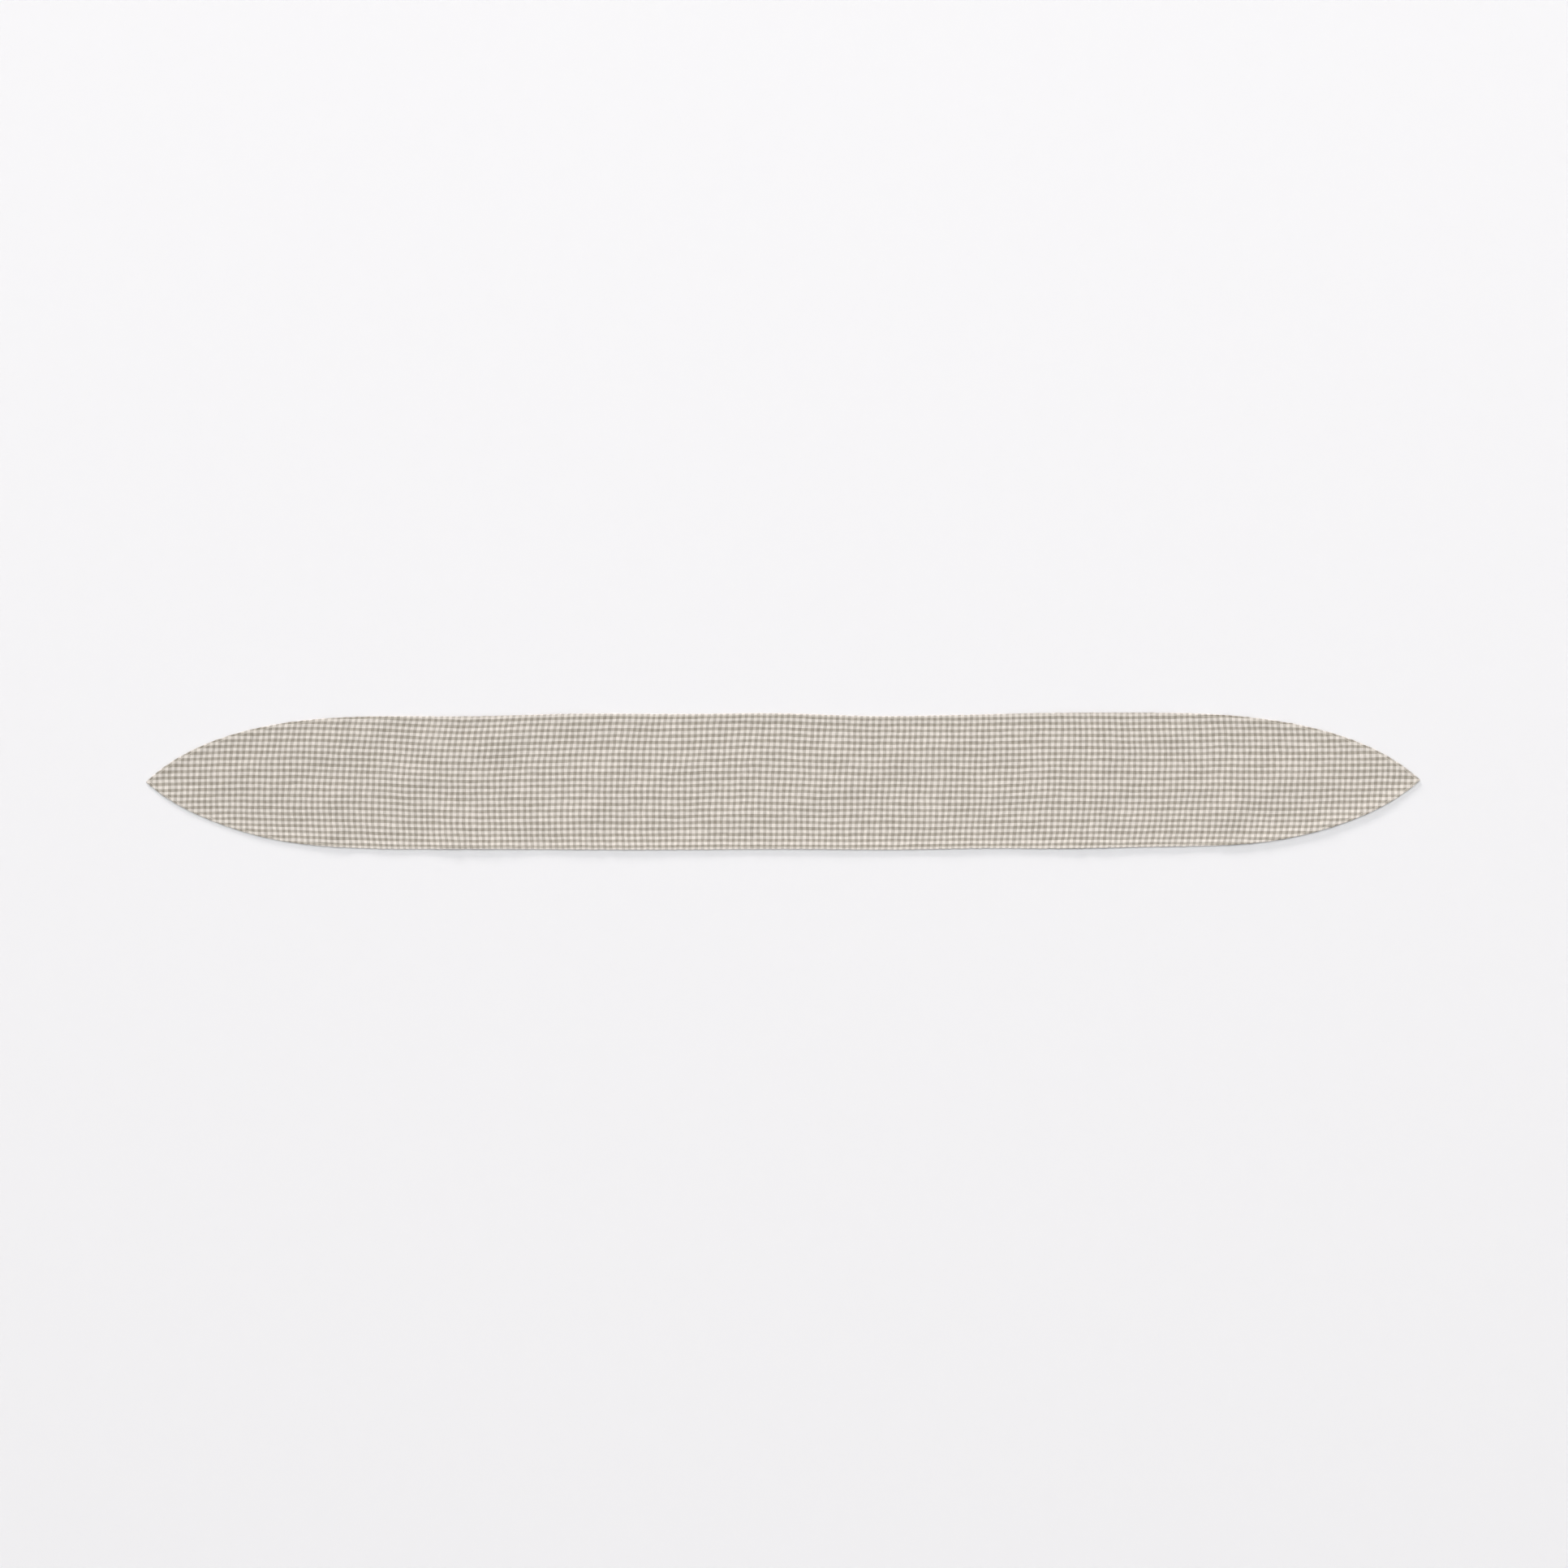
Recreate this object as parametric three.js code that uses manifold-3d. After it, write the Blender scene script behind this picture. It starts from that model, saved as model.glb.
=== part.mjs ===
// A lined table runner with pointed ends, lying flat, in millimetres.
//
// Two leaf-shaped plies of the same woven cotton are seamed right sides together,
// turned right side out through a gap left in the seam, and pressed. A second row
// of stitches close to the edge holds the turned-in allowances and closes the gap.
//
// Frame: +X along the runner, +Y across it, +Z up. The origin is under the middle
// of the runner, on the surface that it lies on.

import * as THREE from 'three';
import { mergeVertices } from 'three/addons/utils/BufferGeometryUtils.js';
import Module from 'manifold-3d';

// Outline
const LENGTH = 2740;              // tip to tip
const WIDTH = 292;                // across the parallel sides
const POINT_LENGTH = 580;         // each tapering end, from where the side starts to curve
const TIP_HALF_ANGLE = 42.5;      // degrees between the centre line and the edge at a tip
const TIP_REACH = 175;            // how far the edge runs on in the tip's direction
const SIDE_REACH = 225;           // how far the edge runs on in the side's direction
const CURVE_STEPS = 16;           // straight steps in each quarter of the outline

// Cloth and thread
const PLY = 0.45;                 // thickness of one ply of cloth
const AIR = 0.2;                  // clearance between plies that lie on each other
const ALLOWANCE = 10;             // width of the cloth turned in along the edge
const THREAD_WIDTH = 0.4;         // flattened sewing thread
const THREAD_HEIGHT = 0.2;
const THREAD_AIR = 0.1;           // clearance all round a thread
const SEAM_INSET = 1.4;           // seam line, just inside the turned edge
const TURNING_GAP = 120;          // stretch of the seam left open to turn the cover
const TURNING_GAP_X = -160;       // middle of that stretch, along the -Y side
const TOPSTITCH_INSET = 5;        // topstitching, in from the edge

// Care label, sewn flat under the runner near one end
const LABEL_LENGTH = 50;
const LABEL_WIDTH = 30;
const LABEL_HEIGHT = 0.15;
const LABEL_X = 700;
const LABEL_EDGE_GAP = 35;        // from the -Y edge of the runner to the label
const LABEL_STITCH_INSET = 2.5;
const LABEL_AIR = 1;              // clearance round the label's sides
const LABEL_CLEARANCE = 0.1;      // clearance above and below the label

// Levels above the table, worked out from the stack of cloth at the edge
const FOLD_GAP = THREAD_HEIGHT + 2 * THREAD_AIR;
const BACKING_ALLOWANCE_Z = PLY + FOLD_GAP;
const BACKING_EDGE_TOP_Z = BACKING_ALLOWANCE_Z + PLY;
const FACE_ALLOWANCE_Z = BACKING_EDGE_TOP_Z + AIR;
const FACE_PLY_Z = FACE_ALLOWANCE_Z + PLY + FOLD_GAP;
const TOP_Z = FACE_PLY_Z + PLY;
const MIDDLE_PLY_Z = PLY + AIR;
const MIDDLE_TOP_Z = MIDDLE_PLY_Z + PLY;

// The face ply steps down to the backing just inside the allowances.
const STEP_INSET = ALLOWANCE + AIR;
const STITCH_GROOVE = THREAD_HEIGHT + THREAD_AIR;
const LABEL_RISE = THREAD_HEIGHT + LABEL_HEIGHT + 2 * LABEL_CLEARANCE;
const LABEL_Y = -WIDTH / 2 + LABEL_EDGE_GAP + LABEL_WIDTH / 2;

const wasm = await Module();
wasm.setup();

// One quarter of the outline, from the parallel side to the tip at +X.
function quarterCurve() {
  const angle = THREE.MathUtils.degToRad(TIP_HALF_ANGLE);
  const tip = new THREE.Vector2(LENGTH / 2, 0);
  const side = new THREE.Vector2(LENGTH / 2 - POINT_LENGTH, WIDTH / 2);
  const fromSide = side.clone().add(new THREE.Vector2(SIDE_REACH, 0));
  const towardTip = tip.clone().add(
    new THREE.Vector2(-Math.cos(angle), Math.sin(angle)).multiplyScalar(TIP_REACH));
  return new THREE.CubicBezierCurve(side, fromSide, towardTip, tip);
}

// The point of the quarter curve at u, moved in from the edge by inset.
function insetPoint(curve, u, inset) {
  const along = curve.getTangent(u);
  return curve.getPoint(u).add(new THREE.Vector2(along.y, -along.x).multiplyScalar(inset));
}

// The quarter outline moved in by inset. It stops where it meets the centre line.
function quarterOutline(inset) {
  const curve = quarterCurve();
  const points = [];
  let last = 0;
  for (let step = 0; step < CURVE_STEPS; step += 1) {
    const u = step / CURVE_STEPS;
    const point = insetPoint(curve, u, inset);
    if (point.y <= 0) break;
    points.push(point);
    last = u;
  }
  let low = last;
  let high = 1;
  for (let turn = 0; turn < 50; turn += 1) {
    const middle = (low + high) / 2;
    if (insetPoint(curve, middle, inset).y > 0) low = middle;
    else high = middle;
  }
  points.push(new THREE.Vector2(insetPoint(curve, low, inset).x, 0));
  return points;
}

// The whole outline moved in by inset, anticlockwise from the tip at +X.
function outline(inset) {
  const quarter = quarterOutline(inset);
  const inward = quarter.slice().reverse();
  const open = quarter.slice(0, -1);
  return [
    ...inward,
    ...quarter.map((p) => new THREE.Vector2(-p.x, p.y)),
    ...inward.slice(1).map((p) => new THREE.Vector2(-p.x, -p.y)),
    ...open.map((p) => new THREE.Vector2(p.x, -p.y)),
  ];
}

function rectangle(x, y, width, height) {
  return [
    new THREE.Vector2(x - width / 2, y - height / 2),
    new THREE.Vector2(x + width / 2, y - height / 2),
    new THREE.Vector2(x + width / 2, y + height / 2),
    new THREE.Vector2(x - width / 2, y + height / 2),
  ];
}

// A flat solid with this outline between two heights, with an optional hole.
function plate(points, low, high, hole = null) {
  const shape = new THREE.Shape(points);
  if (hole) shape.holes.push(new THREE.Path(hole));
  const geometry = new THREE.ExtrudeGeometry(shape, { depth: high - low, bevelEnabled: false });
  geometry.translate(0, 0, low);
  geometry.deleteAttribute('normal');
  geometry.deleteAttribute('uv');
  const merged = mergeVertices(geometry);
  return new wasm.Manifold(new wasm.Mesh({
    numProp: 3,
    vertProperties: new Float32Array(merged.attributes.position.array),
    triVerts: new Uint32Array(merged.index.array),
  }));
}

// A band that follows the edge, from one inset to a deeper one.
function band(outer, inner, low, high) {
  return plate(outline(outer), low, high, outline(inner));
}

// A block on the label's centre, larger than the label by margin all round.
function labelBlock(margin, low, high) {
  const points = rectangle(LABEL_X, LABEL_Y, LABEL_LENGTH + 2 * margin, LABEL_WIDTH + 2 * margin);
  return plate(points, low, high);
}

// A thread that follows the edge, flat on the cloth.
function edgeThread(inset, low) {
  return band(inset - THREAD_WIDTH / 2, inset + THREAD_WIDTH / 2, low, low + THREAD_HEIGHT);
}

// The groove that a row of edge stitches pulls into the cloth.
function edgeGroove(inset, low, high) {
  const half = THREAD_WIDTH / 2 + THREAD_AIR;
  return band(inset - half, inset + half, low, high);
}

function mesh(name, solid, colour, roughness) {
  const { vertProperties, triVerts } = solid.getMesh();
  const geometry = new THREE.BufferGeometry();
  geometry.setAttribute('position', new THREE.BufferAttribute(vertProperties, 3));
  geometry.setIndex(new THREE.BufferAttribute(triVerts, 1));
  geometry.computeVertexNormals();
  const material = new THREE.MeshStandardMaterial({ color: colour, roughness, metalness: 0 });
  const part = new THREE.Mesh(geometry, material);
  part.name = name;
  return part;
}

// The upper ply: it lies on the backing in the middle, rides up over the four
// layers at the edge, rolls over the edge, and runs back in as its allowance.
function facePanel() {
  return band(0, STEP_INSET + PLY, FACE_PLY_Z, TOP_Z)
    .add(band(0, PLY, FACE_ALLOWANCE_Z, TOP_Z))
    .add(band(0, ALLOWANCE, FACE_ALLOWANCE_Z, FACE_ALLOWANCE_Z + PLY))
    .add(band(STEP_INSET, STEP_INSET + PLY, MIDDLE_PLY_Z, TOP_Z))
    .add(plate(outline(STEP_INSET), MIDDLE_PLY_Z, MIDDLE_TOP_Z))
    .add(labelBlock(LABEL_AIR + 2 * PLY + AIR, MIDDLE_PLY_Z, MIDDLE_TOP_Z + LABEL_RISE))
    .subtract(labelBlock(LABEL_AIR + PLY + AIR, 0, MIDDLE_PLY_Z + LABEL_RISE))
    .subtract(edgeGroove(TOPSTITCH_INSET, TOP_Z - STITCH_GROOVE, TOP_Z + AIR));
}

// The lower ply: flat on the table, rolled up at the edge and turned in.
function backingPanel() {
  return plate(outline(0), 0, PLY)
    .add(band(0, PLY, 0, BACKING_EDGE_TOP_Z))
    .add(band(0, ALLOWANCE, BACKING_ALLOWANCE_Z, BACKING_EDGE_TOP_Z))
    .add(labelBlock(LABEL_AIR + PLY, 0, PLY + LABEL_RISE))
    .subtract(labelBlock(LABEL_AIR, -AIR, LABEL_RISE))
    .subtract(edgeGroove(TOPSTITCH_INSET, -AIR, STITCH_GROOVE));
}

// The seam's threads stop at the two ends of the turning gap.
function seamThread(low) {
  const gapPoints = rectangle(TURNING_GAP_X, -WIDTH / 2, TURNING_GAP, WIDTH / 2);
  const gap = plate(gapPoints, 0, TOP_Z);
  return edgeThread(SEAM_INSET, low).subtract(gap);
}

function labelThread() {
  const outer = LABEL_STITCH_INSET - THREAD_WIDTH / 2;
  const inner = LABEL_STITCH_INSET + THREAD_WIDTH / 2;
  return labelBlock(-outer, 0, THREAD_HEIGHT).subtract(labelBlock(-inner, -AIR, TOP_Z));
}

const LABEL_Z = THREAD_HEIGHT + LABEL_CLEARANCE;
const CLOTH_COLOUR = 0xc6beb4;
const THREAD_COLOUR = 0xe6dfd2;
const SATIN_COLOUR = 0xf3f0ea;

const runner = new THREE.Group();
runner.add(
  mesh('face_panel', facePanel(), CLOTH_COLOUR, 0.9),
  mesh('backing_panel', backingPanel(), CLOTH_COLOUR, 0.9),
  mesh('seam_needle_thread', seamThread(FACE_PLY_Z - FOLD_GAP + THREAD_AIR), THREAD_COLOUR, 0.7),
  mesh('seam_bobbin_thread', seamThread(PLY + THREAD_AIR), THREAD_COLOUR, 0.7),
  mesh('topstitch_needle_thread', edgeThread(TOPSTITCH_INSET, TOP_Z - THREAD_HEIGHT),
    THREAD_COLOUR, 0.7),
  mesh('topstitch_bobbin_thread', edgeThread(TOPSTITCH_INSET, 0), THREAD_COLOUR, 0.7),
  mesh('care_label', labelBlock(0, LABEL_Z, LABEL_Z + LABEL_HEIGHT), SATIN_COLOUR, 0.45),
  mesh('label_thread', labelThread(), THREAD_COLOUR, 0.7),
);

export default runner;
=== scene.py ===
import math

import bpy
import numpy as np
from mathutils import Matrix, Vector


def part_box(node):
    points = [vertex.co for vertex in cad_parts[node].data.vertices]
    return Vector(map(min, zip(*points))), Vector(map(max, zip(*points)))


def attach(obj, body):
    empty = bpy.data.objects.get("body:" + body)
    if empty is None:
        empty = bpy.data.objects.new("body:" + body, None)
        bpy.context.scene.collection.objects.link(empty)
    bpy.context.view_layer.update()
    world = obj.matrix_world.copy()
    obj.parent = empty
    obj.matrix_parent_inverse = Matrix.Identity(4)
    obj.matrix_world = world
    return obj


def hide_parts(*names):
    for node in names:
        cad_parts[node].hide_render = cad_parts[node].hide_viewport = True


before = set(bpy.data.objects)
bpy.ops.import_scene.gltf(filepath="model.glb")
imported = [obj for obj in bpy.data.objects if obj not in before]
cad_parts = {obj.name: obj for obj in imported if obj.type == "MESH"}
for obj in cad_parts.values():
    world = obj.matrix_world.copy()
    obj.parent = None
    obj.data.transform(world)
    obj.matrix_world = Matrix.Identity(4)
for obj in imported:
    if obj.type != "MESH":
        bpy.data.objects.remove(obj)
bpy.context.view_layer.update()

# ---------------------------------------------------------------------------
# The cut outline
# Both plies are cut to the same long leaf, straight along the sides and drawn
# in to a point at each end. Every piece below is placed by its distance in
# from this finished edge, so the edge is worked out once, at any inset.
# ---------------------------------------------------------------------------

MM = 0.001
face_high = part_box("face_panel")[1]
HALF_LENGTH = face_high.x
HALF_WIDTH = face_high.y
POINT_LENGTH = 580 * MM
TIP_HALF_ANGLE = math.radians(42.5)
TIP_REACH = 175 * MM
SIDE_REACH = 225 * MM
STATION = 5 * MM
TIP_ZONE = 80 * MM


def edge_curve():
    """The edge from the middle of one side to the +X tip: its points, their inward
    normals, and the length of edge up to each."""
    side_x = HALF_LENGTH - POINT_LENGTH
    side = np.array([side_x, HALF_WIDTH])
    side_handle = side + [SIDE_REACH, 0]
    tip = np.array([HALF_LENGTH, 0.0])
    tip_handle = tip + TIP_REACH * np.array([-math.cos(TIP_HALF_ANGLE), math.sin(TIP_HALF_ANGLE)])
    u = np.linspace(0, 1, 1500)[:, None]
    curve = (1 - u) ** 3 * side + 3 * (1 - u) ** 2 * u * side_handle
    curve += 3 * (1 - u) * u ** 2 * tip_handle + u ** 3 * tip
    points = np.vstack([[[0.0, HALF_WIDTH]], curve])
    step = np.diff(points, axis=0)
    length = np.concatenate([[0], np.cumsum(np.hypot(step[:, 0], step[:, 1]))])
    along = np.vstack([step[:1], step])
    along /= np.hypot(along[:, 0], along[:, 1])[:, None]
    inward = np.stack([along[:, 1], -along[:, 0]], axis=1)
    return points, inward, length


EDGE, INWARD, EDGE_LENGTH = edge_curve()
QUARTER = EDGE_LENGTH[-1]
STATIONS = round(QUARTER / STATION)


def along_edge(values, at):
    """Reads a pair of values that is known along the edge at these lengths of edge."""
    return np.stack([np.interp(at, EDGE_LENGTH, values[:, i]) for i in (0, 1)], axis=1)


def quarter_line(inset):
    """The stations of one quarter, moved in from the edge by inset (out if negative).
    Beside the tip they close up, so that the line ends on the centre line."""
    at = np.linspace(0, QUARTER, STATIONS + 1)
    if inset > 0:
        moved = EDGE + INWARD * inset
        last = np.nonzero(moved[:, 1] > 0)[0][-1]
        share = moved[last, 1] / (moved[last, 1] - moved[last + 1, 1])
        end = EDGE_LENGTH[last] + share * (EDGE_LENGTH[last + 1] - EDGE_LENGTH[last])
        zone = QUARTER - TIP_ZONE
        closing = zone + (at - zone) * (end - zone) / TIP_ZONE
        at = np.where(at > zone, closing, at)
    line = along_edge(EDGE, at) + along_edge(INWARD, at) * inset
    line[-1, 1] = 0
    if inset < 0:
        line[-1, 0] = HALF_LENGTH - inset / math.sin(TIP_HALF_ANGLE)
    return line


def ring(inset):
    """The whole edge line at this inset, anticlockwise from the +X tip."""
    quarter = quarter_line(inset)
    to_side = quarter[:0:-1]
    to_tip = quarter[:-1]
    return np.vstack([to_side, to_tip * [-1, 1], to_side * [-1, -1], to_tip * [1, -1]])


# ---------------------------------------------------------------------------
# How the runner lies
# A pressed runner lies flat, but never quite. It keeps the marks where it was
# folded in eighths, its front edge stands a little off the table, it ripples,
# and the stitches pucker its sides. Every piece below is laid on this shape.
# ---------------------------------------------------------------------------

EDGE_CURL = 45 * MM       # how far in from the edge its lift dies away
FOLD_REACH = 28 * MM      # how far a pressed fold shows on each side
RIPPLES = 40
RIPPLE_LENGTHS = (45, 200)  # in mm
RIPPLE_STEEPNESS = 0.0011
EDGE_STIFFNESS = 0.7      # share of the ripples that the four layers at the edge hold out
SOFT_LANDING = 0.4 * MM   # how gently the table stops what would go below it


def half_width(x):
    """Half the runner's width at x."""
    return np.interp(np.abs(x), EDGE[:, 0], EDGE[:, 1])


def between(x, stops):
    """Runs smoothly from value to value through a list of stops, each (x in m, value)."""
    places, values = np.array(stops, float).T
    slopes = np.gradient(values, places)
    i = np.clip(np.searchsorted(places, x) - 1, 0, len(places) - 2)
    gap = places[i + 1] - places[i]
    s = np.clip((x - places[i]) / gap, 0, 1)
    eased = values[i] + (values[i + 1] - values[i]) * s * s * (3 - 2 * s)
    return eased + gap * s * (1 - s) * (slopes[i] * (1 - s) - slopes[i + 1] * s)


def wander(x, shortest, longest, seed):
    """A random wave along x with no one period, about 1 high, with waves of these lengths."""
    random = np.random.default_rng(seed)
    total = 0
    for _ in range(12):
        wave = random.uniform(shortest, longest)
        total = total + np.sin(2 * math.pi * (x / wave + random.uniform()))
    return total / math.sqrt(12)


# Height of the raised edges over the table, in mm, along the far and the near side.
FAR_LIFT = [(-1.37, 0.0), (0.0, 0.3), (0.6, 0.1), (1.37, 0.2)]
NEAR_LIFT = [(-1.37, 0.1), (-1.0, 0.5), (-0.7, 1.1), (0.0, 1.2), (0.7, 1.1), (1.1, 1.7), (1.25, 1.4),
             (1.37, 0.6)]
# Pressed folds: place in m, slant, height of the shoulders in mm, and whether it points down.
FOLDS = [(-0.95, 0.02, 0.9, False), (-0.685, -0.03, 1.1, True), (-0.37, 0.04, 0.8, True),
         (0.03, 0.0, 0.5, False), (0.36, -0.05, 0.5, False), (0.655, 0.0, 1.2, True), (1.0, 0.05, 0.7, True)]


def settled(x, y):
    """Height over the table of the runner's underside."""
    inset = np.clip(half_width(x) - np.abs(y), 0, None)
    lift = np.where(y > 0, between(x, FAR_LIFT), between(x, NEAR_LIFT))
    height = lift * MM * np.exp(-inset / EDGE_CURL)
    for place, slant, rise, down in FOLDS:
        off = np.abs(x - place - slant * y) / FOLD_REACH
        height = height + rise * MM * (off * np.exp(1 - off) if down else np.exp(-off))
    limp = 1 - EDGE_STIFFNESS * np.exp(-inset / EDGE_CURL)
    random = np.random.default_rng(7)
    for _ in range(RIPPLES):
        wave = random.uniform(*RIPPLE_LENGTHS) * MM
        turn = random.uniform(0, math.pi)
        across = x * math.cos(turn) + y * math.sin(turn)
        ripple = np.sin(2 * math.pi * (across / wave + random.uniform()))
        height = height + RIPPLE_STEEPNESS * wave * limp * ripple
    return (height + np.sqrt(height ** 2 + SOFT_LANDING ** 2)) / 2


# How far each long side strays from its pattern once laid, in mm towards +Y.
FAR_STRAY = [(-1.37, 4), (-1.1, 2.3), (-0.85, -3.5), (-0.68, -4.5), (-0.45, 1), (-0.2, 0.5), (-0.02, 2),
             (0.2, -4), (0.38, -1.5), (0.55, 2.5), (0.85, 3.4), (1.1, 4.5), (1.37, 5)]
NEAR_STRAY = [(-1.37, -3), (-1.25, 0.5), (-1.1, -2.2), (-0.9, 1), (-0.2, 0.8), (0.0, 2), (0.25, 0.8),
              (0.42, 3.5), (0.6, 3), (0.85, 7), (1.05, 2.5), (1.25, 5), (1.37, 4)]
LABEL_LIFT = 0.45 * MM
LABEL_EASE = 9 * MM
PUCKER = 0.16 * MM            # up and down
PUCKER_SWAY = 0.3 * MM        # in and out
PUCKER_REACH = 14 * MM
PUCKER_WAVES = (0.016, 0.045)
label_low, label_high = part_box("care_label")


def label_rise(x, y):
    """The cloth rises over the care label and eases down round it."""
    beyond_x = np.maximum(np.maximum(label_low.x - x, x - label_high.x), 0)
    beyond_y = np.maximum(np.maximum(label_low.y - y, y - label_high.y), 0)
    return LABEL_LIFT * np.exp(-(beyond_x ** 2 + beyond_y ** 2) / LABEL_EASE ** 2)


def pucker(x, y, first_seed):
    """The small uneven waves that the row of stitches draws up along both long sides."""
    far_wave = wander(x, *PUCKER_WAVES, first_seed)
    near_wave = wander(x, *PUCKER_WAVES, first_seed + 1)
    inset = np.clip(half_width(x) - np.abs(y), 0, None)
    return np.where(y > 0, far_wave, near_wave) * np.exp(-inset / PUCKER_REACH)


def lay(x, y, height):
    """Moves points of the pressed, flat runner to where they lie on the table. Height is
    over the underside of the backing, in metres, and stays square to the cloth."""
    step = 2 * MM

    def base(px, py):
        return settled(px, py) + label_rise(px, py) + PUCKER * (1 + pucker(px, py, 20))

    slope_x = (base(x + step, y) - base(x - step, y)) / (2 * step)
    slope_y = (base(x, y + step) - base(x, y - step)) / (2 * step)
    share = np.clip((y / HALF_WIDTH + 1) / 2, 0, 1)
    stray = (between(x, FAR_STRAY) * share + between(x, NEAR_STRAY) * (1 - share)) * MM
    stray = stray + PUCKER_SWAY * pucker(x, y, 30)
    return np.stack([x - slope_x * height, y + stray - slope_y * height, base(x, y) + height], axis=1)


# ---------------------------------------------------------------------------
# Face panel
# The upper ply: plain-woven cotton, yarn-dyed in stone and cream, folded over
# the seam allowances at the edge. It lies on the backing in the middle, rides
# over four layers at the edge, and dips where the topstitching pulls it down.
# ---------------------------------------------------------------------------

# Heights and insets of the pressed runner, in mm.
PLY = 0.4
MIDDLE = 1.35             # top of the face where two plies lie on each other
STACK = 1.9               # top of the face over the four layers at the edge
SEAM_GAP = 0.03
ALLOWANCE = 10
STITCH_INSET = 5
NEEDLE_DIP = 0.16
BOBBIN_DIP = 0.38
DIP_WIDTH = 0.7
STEP_FROM = 8             # the face eases down from the stack between these two insets
STEP_TO = 22
FOLD_RADIUS = STACK / 4 - SEAM_GAP / 2
FOLD_INSET = FOLD_RADIUS + 0.05
ACROSS_CELLS = 34
SHOWN_INSETS = (22, 19.5, 17, 14.5, 12, 10, 8, 6.8, 6.1, 5.6, 5.25, 5, 4.75, 4.4, 3.9, 3.2, 2.2, 1.2)
LINING_INSETS = (1.1, 2.5, 4, 4.6, 5, 5.4, 6, 8, 12, 17, 22)
SHOWN_ANGLES = (75, 50, 25, 0, -25, -50, -75, -90)
INNER_ANGLES = (-80, 0, 80)
ALLOWANCE_INSETS = (2, 5, ALLOWANCE)

# The check runs 209 times along the runner and 22 times across it. Sewing and pressing
# pulled the weave out of true, by these millimetres: along the runner (DRIFT), more so at
# the sides, which the stitches drew up (LAG), and leaning (LEAN); and across it, beside the
# near edge, down the middle and beside the far edge (SWAY).
LENGTHWISE_REPEAT = 2 * HALF_LENGTH / 209
CROSSWISE_REPEAT = 2 * HALF_WIDTH / 21.94
COLUMN_DRIFT = [(-1.37, -1.7), (-1.16, -4.2), (-0.99, -8.1), (-0.64, -10.7), (-0.29, -8), (0, -3.7),
                (0.24, -1.4), (0.5, 0), (0.85, 0.3), (1.11, -1.6), (1.37, -6.2)]
COLUMN_LAG = [(-1.37, 6), (-0.8, 10.5), (0.0, 2), (0.24, 0), (0.6, -5.5), (0.93, -10.2), (1.37, -6)]
COLUMN_LEAN = 7
EDGE_ROWS = (2.6, 1.7)    # how far the seam draws the outer rows in, near side and far side
NEAR_SWAY = [(-1.37, 17), (-1.12, 16), (-0.93, 4.5), (-0.78, -1), (-0.5, -2), (-0.3, -0.5), (0.1, -1.2),
             (0.25, 0.8), (0.4, -0.5), (0.65, 2.4), (0.8, -0.8), (1.0, 3.4), (1.37, 5)]
MIDDLE_SWAY = [(-1.37, 0), (-1.25, 1.8), (-1.12, 4.8), (-0.9, 2.8), (-0.73, -3.3), (-0.58, -3),
               (-0.38, -1.9), (-0.2, -1.6), (-0.1, 0), (0.08, -2), (0.22, 0.6), (0.42, -3.4),
               (0.58, -1.2), (0.8, -4.1), (1.0, -2), (1.18, -1.6), (1.37, -0.5)]
FAR_SWAY = [(-1.37, -5), (-1.15, -5), (-0.93, 3), (-0.7, -2.6), (-0.3, -0.6), (0.15, 0.7), (0.4, -1.3),
            (0.8, -3.3), (1.0, -0.8), (1.15, -4.2), (1.37, -3.6)]


def stitch_dip(inset):
    return np.exp(-((inset - STITCH_INSET) / DIP_WIDTH) ** 2)


def face_top(inset):
    """Height of the face ply's upper side at this inset."""
    share = min(max((inset - STEP_FROM) / (STEP_TO - STEP_FROM), 0), 1)
    share = share * share * (3 - 2 * share)
    return STACK + (MIDDLE - STACK) * share - NEEDLE_DIP * stitch_dip(inset)


def backing_under(inset):
    """Height of the backing ply's lower side at this inset."""
    return BOBBIN_DIP * stitch_dip(inset)


def ply_section(skin, up):
    """One ply from the middle of the runner out, round the fold, back in along the allowance
    and home again on its other side. Each row is (inset, height, distance in from the edge
    measured along the cloth, whether it shows). skin is the outer side's height; up is 1 for
    the face and -1 for the backing."""
    seam = STACK / 2 + up * SEAM_GAP / 2
    centre = seam + up * FOLD_RADIUS

    def round_fold(angle, radius, shown):
        turn = math.radians(90 - angle)
        inset = FOLD_INSET - radius * math.sin(turn)
        return inset, centre + up * radius * math.cos(turn), FOLD_INSET - FOLD_RADIUS * turn, shown

    fold_end = FOLD_INSET - FOLD_RADIUS * math.pi
    rows = [(inset, skin(inset), inset, True) for inset in SHOWN_INSETS]
    rows += [round_fold(angle, FOLD_RADIUS, True) for angle in SHOWN_ANGLES]
    rows += [(inset, seam, fold_end + FOLD_INSET - inset, True) for inset in ALLOWANCE_INSETS]
    rows += [(inset, seam + up * PLY, fold_end + FOLD_INSET - inset, False)
             for inset in ALLOWANCE_INSETS[::-1]]
    rows += [round_fold(angle, FOLD_RADIUS - PLY, False) for angle in INNER_ANGLES]
    rows += [(inset, skin(inset) - up * PLY, inset, False) for inset in LINING_INSETS]
    return rows


def columns_of(line):
    """Points across the runner between the upper and the lower half of a ring."""
    upper = line[1:2 * STATIONS]
    lower = line[:2 * STATIONS:-1]
    t = np.linspace(0, 1, ACROSS_CELLS + 1)[1:-1, None]
    return np.concatenate([u + (w - u) * t for u, w in zip(upper, lower)])


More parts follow.
